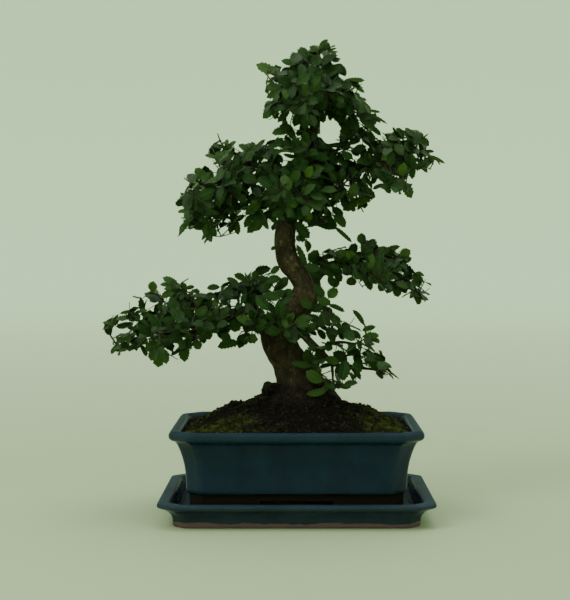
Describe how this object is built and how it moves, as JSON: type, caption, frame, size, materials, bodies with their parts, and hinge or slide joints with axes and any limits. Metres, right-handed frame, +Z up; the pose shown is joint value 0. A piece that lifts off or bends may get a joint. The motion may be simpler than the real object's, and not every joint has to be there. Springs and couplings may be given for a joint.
{
  "type": "chinese elm bonsai in a glazed pot on a drip tray",
  "caption": "Small curved-trunk elm tree with tiered leafy limbs, standing in soil in a rectangular canted glazed pot on a matching drip tray.",
  "frame": {"origin": "centre of the flat underside of the drip tray, on the surface that the tray stands on", "axes": "+Z up along the tree, +X to the right and -Y to the front of the pot"},
  "size_m": [0.3658, 0.2134, 0.5011],
  "materials": {
    "pot_glaze": "glossy dark teal glaze",
    "tray_glaze": "glossy dark teal glaze over bare clay foot",
    "soil": "dark crumbly earth with patches of moss",
    "bark": "rough grey-brown bark",
    "foliage": "satin green leaves",
    "screen": "matt black plastic mesh"
  },
  "bodies": {
    "root": {"tray": "tray_glaze", "pot": "pot_glaze", "drain_screen_left": "screen", "drain_screen_right": "screen", "soil": "soil", "trunk": "bark", "crown_spray_01": "foliage", "crown_spray_02": "foliage", "crown_spray_03": "foliage", "crown_spray_04": "foliage", "crown_spray_05": "foliage", "crown_spray_06": "foliage", "crown_spray_07": "foliage", "crown_spray_08": "foliage", "crown_spray_09": "foliage", "low_right_spray_01": "foliage", "low_right_spray_02": "foliage", "low_right_spray_03": "foliage", "low_right_spray_04": "foliage", "lower_left_spray_01": "foliage", "lower_left_spray_02": "foliage", "lower_left_spray_03": "foliage", "lower_left_spray_04": "foliage", "lower_left_spray_05": "foliage", "lower_left_spray_06": "foliage", "lower_left_spray_07": "foliage", "lower_left_spray_08": "foliage", "lower_left_spray_09": "foliage", "lower_left_spray_10": "foliage", "lower_left_spray_11": "foliage", "lower_left_spray_12": "foliage", "mid_right_spray_01": "foliage", "mid_right_spray_02": "foliage", "mid_right_spray_03": "foliage", "mid_right_spray_04": "foliage", "mid_right_spray_05": "foliage", "mid_right_spray_06": "foliage", "mid_right_spray_07": "foliage", "middle_spray_01": "foliage", "middle_spray_02": "foliage", "middle_spray_03": "foliage", "middle_spray_04": "foliage", "middle_spray_05": "foliage", "upper_left_spray_01": "foliage", "upper_left_spray_02": "foliage", "upper_left_spray_03": "foliage", "upper_left_spray_04": "foliage", "upper_left_spray_05": "foliage", "upper_left_spray_06": "foliage", "upper_left_spray_07": "foliage", "upper_left_spray_08": "foliage", "upper_right_spray_01": "foliage", "upper_right_spray_02": "foliage", "upper_right_spray_03": "foliage", "upper_right_spray_04": "foliage", "upper_right_spray_05": "foliage", "upper_right_spray_06": "foliage", "upper_right_spray_07": "foliage", "upper_right_spray_08": "foliage", "upper_right_spray_09": "foliage"}
  },
  "joints": []
}
